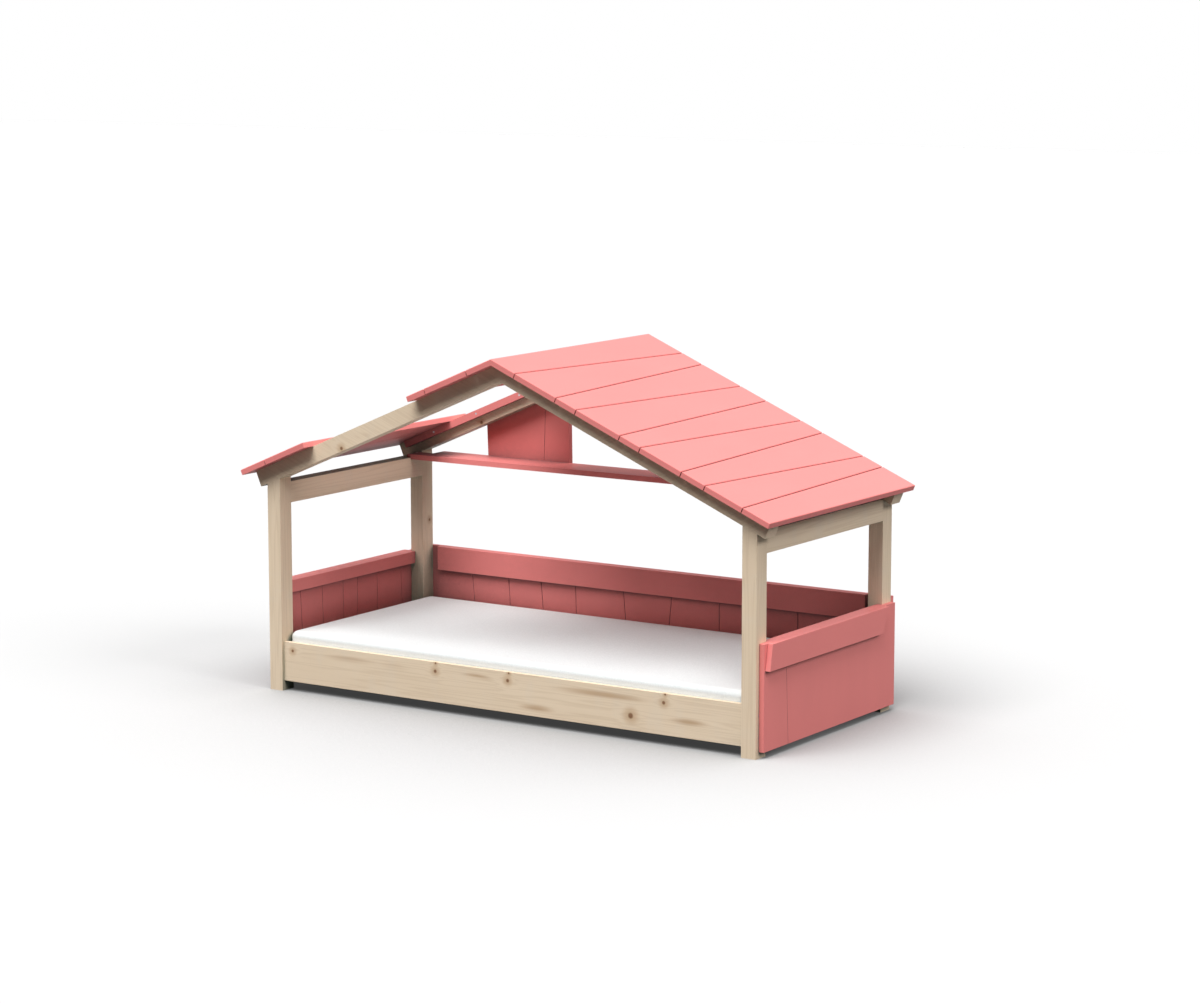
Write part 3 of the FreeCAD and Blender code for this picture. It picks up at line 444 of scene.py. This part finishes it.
def mattress_mesh(low, high):
    """A mattress with rounded edges, grooves and drawn-in sides, and a crowned, slightly uneven top."""
    centre = (low + high) / 2
    half = (high - low) / 2
    grid = (spaced(half.x, *PLAN_GRID), spaced(half.y, *PLAN_GRID), spaced(half.z, *SIDE_GRID))
    mesh = bmesh.new()
    found = {}

    def plan(x, y):
        """The point with round upright corners, and the outward direction there."""
        past_x, past_y = abs(x) - (half.x - CORNER), abs(y) - (half.y - CORNER)
        if past_x <= 0 or past_y <= 0:
            return (x, y), ((1.0, 0.0) if half.x - abs(x) <= half.y - abs(y) else (0.0, 1.0))
        away = math.hypot(past_x, past_y)
        scale = max(past_x, past_y) / away
        round_x = math.copysign(half.x - CORNER + past_x * scale, x)
        round_y = math.copysign(half.y - CORNER + past_y * scale, y)
        return (round_x, round_y), (past_x / away, past_y / away)

    def sag(x, y, inside):
        """How far the top lies below the top of its box, apart from its rounded edge."""
        crown = (1 - (x / half.x) ** 2) * (1 - (y / half.y) ** 2)
        wave = sum(size * noise.noise(Vector((x * scale, y * scale, layer)))
                   for scale, layer, size in UNEVENNESS)
        raised = wave * min(1.0, inside / CALM_EDGE) + ridge(inside, *EDGE_ROLL)
        return CROWN * (1 - crown) ** 2 + TOP_CLEARANCE - raised

    def shape(x, y, z):
        """The place on the mattress of a point on its box."""
        (plan_x, plan_y), (out_x, out_y) = plan(x, y)
        from_end, from_side = half.x - abs(x), half.y - abs(y)
        inside = min(from_end, from_side)
        depth, rise = half.z - z, half.z + z
        if depth < TINY:                 # the top
            drop, inset = rounding(inside, TOP_ROUND)
            height = z - drop - sag(x, y, inside)
        elif rise < TINY:                # the underside
            lift, inset = rounding(inside, FOOT_ROUND)
            height = z + lift
        else:                            # the sides
            upper, down = rounding(depth, TOP_ROUND)
            lower, up = rounding(rise, FOOT_ROUND)
            inset = upper + lower + ridge(depth, *UPPER_GROOVE) + ridge(rise, *LOWER_GROOVE)
            height = z - down + up
            height -= CROWN * fading(depth, CROWN_FADE) + TOP_CLEARANCE * fading(depth, CLEARANCE_FADE)
        along = plan_x / half.x if from_side < from_end else plan_y / half.y
        draw = SIDE_DRAW * max(0.0, 1 - along ** 2)
        inset += (draw + SIDE_CLEARANCE) * fading(inside, DRAW_REACH)
        plan_x -= math.copysign(inset * out_x, x)
        plan_y -= math.copysign(inset * out_y, y)
        return centre + Vector((plan_x, plan_y, height))

    def vertex(*key):
        if key not in found:
            found[key] = mesh.verts.new(shape(*(places[i] for places, i in zip(grid, key))))
        return found[key]

    def skin(steps_a, steps_b, side, opposite):
        """Faces over two opposite sides of the box; each side turns two grid numbers into a vertex."""
        for a in range(steps_a):
            for b in range(steps_b):
                ring = ((a, b), (a + 1, b), (a + 1, b + 1), (a, b + 1))
                mesh.faces.new([side(*at) for at in ring])
                mesh.faces.new([opposite(*at) for at in (ring[0], *reversed(ring[1:]))])

    last_x, last_y, last_z = (len(places) - 1 for places in grid)
    skin(last_x, last_y, lambda i, j: vertex(i, j, last_z), lambda i, j: vertex(i, j, 0))
    skin(last_x, last_z, lambda i, k: vertex(i, 0, k), lambda i, k: vertex(i, last_y, k))
    skin(last_y, last_z, lambda j, k: vertex(last_x, j, k), lambda j, k: vertex(0, j, k))
    mesh.normal_update()
    data = bpy.data.meshes.new("mattress_cover")
    mesh.to_mesh(data)
    mesh.free()
    for face in data.polygons:
        face.use_smooth = True
    return data


low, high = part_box("mattress")
mattress = bpy.data.objects.new("mattress_cover", mattress_mesh(low, high))
bpy.context.scene.collection.objects.link(mattress)
mattress.data.materials.append(cover("mattress_fabric"))
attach(mattress, "root")
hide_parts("mattress")


# ---------------------------------------------------------------- floor, light and camera
FLOOR_SIZE = 80
FLOOR_PAINTED_SHADE_REACH = 2.2                        # how far from the object the floor gets painted shade
FLOOR_PAINTED_SHADE_SAMPLES = 8
FLOOR_PAINTED_SHADE_RANGE = (0.15, 1.0)                # openness at which the floor's painted shade is deepest, and where the floor is at its palest
# the floor's painted shade at its deepest, and the floor's own pale tone
FLOOR_PAINTED_SHADE = shade(WHITE, 0.24)
FLOOR_PALE = shade(WHITE, 0.585)
FLOOR_LIFT = 0.045                       # light of its own, seen but not given to the object
FLOOR_BOUNCE = shade(WHITE, 0.09)        # the tone that it has for the light it gives back

SKY = shade(WHITE, 0.8)
SKY_RANGE = (0.40, 0.75)                 # height on the unit sphere where the sky starts to brighten and ends
SUN_DISTANCE = 6

SENSOR, LENS = 36, 98.72                 # millimetres
CAMERA_TARGET = Vector((0.1094, 0.0168, 0.7540))
CAMERA_DISTANCE = 12.089
CAMERA_AZIMUTH, CAMERA_ELEVATION = 33.239, 8.813     # degrees
CAMERA_REACH = 200


def make_floor():
    """A wide floor that takes the shadows, with painted shade near the object, and gives little light back to
    the object.
    """
    bpy.ops.mesh.primitive_plane_add(size=FLOOR_SIZE)
    floor = bpy.context.object
    floor.name = "floor"
    material = bpy.data.materials.new("floor")
    graph = Graph(material)
    near = graph.add("AmbientOcclusion", {"Distance": FLOOR_PAINTED_SHADE_REACH}, samples=FLOOR_PAINTED_SHADE_SAMPLES)
    # painted shade: the floor's tone is darkened where the object encloses it
    tone = graph.mix(graph.ramp(near.outputs["AO"], *FLOOR_PAINTED_SHADE_RANGE), FLOOR_PAINTED_SHADE, FLOOR_PALE)
    ground = graph.add("BsdfDiffuse", {"Color": tone})
    lift = graph.add("Emission", {"Color": WHITE, "Strength": FLOOR_LIFT})
    shown = graph.add("AddShader", {0: ground.outputs[0], 1: lift.outputs[0]})
    bounce = graph.add("BsdfDiffuse", {"Color": FLOOR_BOUNCE})
    mix = graph.add("MixShader", {0: graph.seen(), 1: bounce.outputs[0], 2: shown.outputs[0]})
    graph.add("OutputMaterial", {"Surface": mix.outputs[0]})
    floor.data.materials.append(material)


def make_world(low_sky, high_sky):
    """A pale even surround, brighter overhead; the camera and reflections see plain white."""
    world = bpy.data.worlds.new("studio")
    bpy.context.scene.world = world
    graph = Graph(world)
    up = graph.add("SeparateXYZ", {0: graph.add("TexCoord").outputs["Generated"]}).outputs[2]
    strength = graph.ramp(up, *SKY_RANGE, least=low_sky, most=high_sky)
    sky = graph.add("Background", {"Color": SKY, "Strength": strength})
    white = graph.add("Background", {"Color": WHITE})
    mix = graph.add("MixShader", {0: graph.seen(), 1: sky.outputs[0], 2: white.outputs[0]})
    graph.add("OutputWorld", {0: mix.outputs[0]})


def aimed(name, data, target, azimuth, elevation, distance):
    """A new object that looks at the target from that side; azimuth 0 is the open front, and 90 the right."""
    turn, lift = math.radians(azimuth), math.radians(elevation)
    back = Vector((math.sin(turn) * math.cos(lift), -math.cos(turn) * math.cos(lift), math.sin(lift)))
    thing = bpy.data.objects.new(name, data)
    thing.location = target + back * distance
    thing.rotation_mode = "QUATERNION"
    thing.rotation_quaternion = back.to_track_quat("Z", "Y")
    bpy.context.scene.collection.objects.link(thing)
    return thing


def sun(name, azimuth, elevation, spread, strength):
    """A soft distant light; a white surface that faces it squarely shows that strength."""
    data = bpy.data.lights.new(name, "SUN")
    data.angle = math.radians(spread)
    data.energy = strength * math.pi
    aimed(name, data, Vector(), azimuth, elevation, SUN_DISTANCE)


def make_camera():
    """The photograph's own view."""
    data = bpy.data.cameras.new("camera")
    data.sensor_width = SENSOR
    data.lens = LENS
    data.clip_end = CAMERA_REACH
    camera = aimed("camera", data, CAMERA_TARGET, CAMERA_AZIMUTH, CAMERA_ELEVATION, CAMERA_DISTANCE)
    bpy.context.scene.camera = camera


make_floor()
make_world(low_sky=0.03, high_sky=1.00)
sun("front", azimuth=0, elevation=59, spread=44, strength=1.05)
sun("right", azimuth=88, elevation=34, spread=30, strength=0.39)
make_camera()
bpy.context.scene.view_settings.view_transform = "Standard"
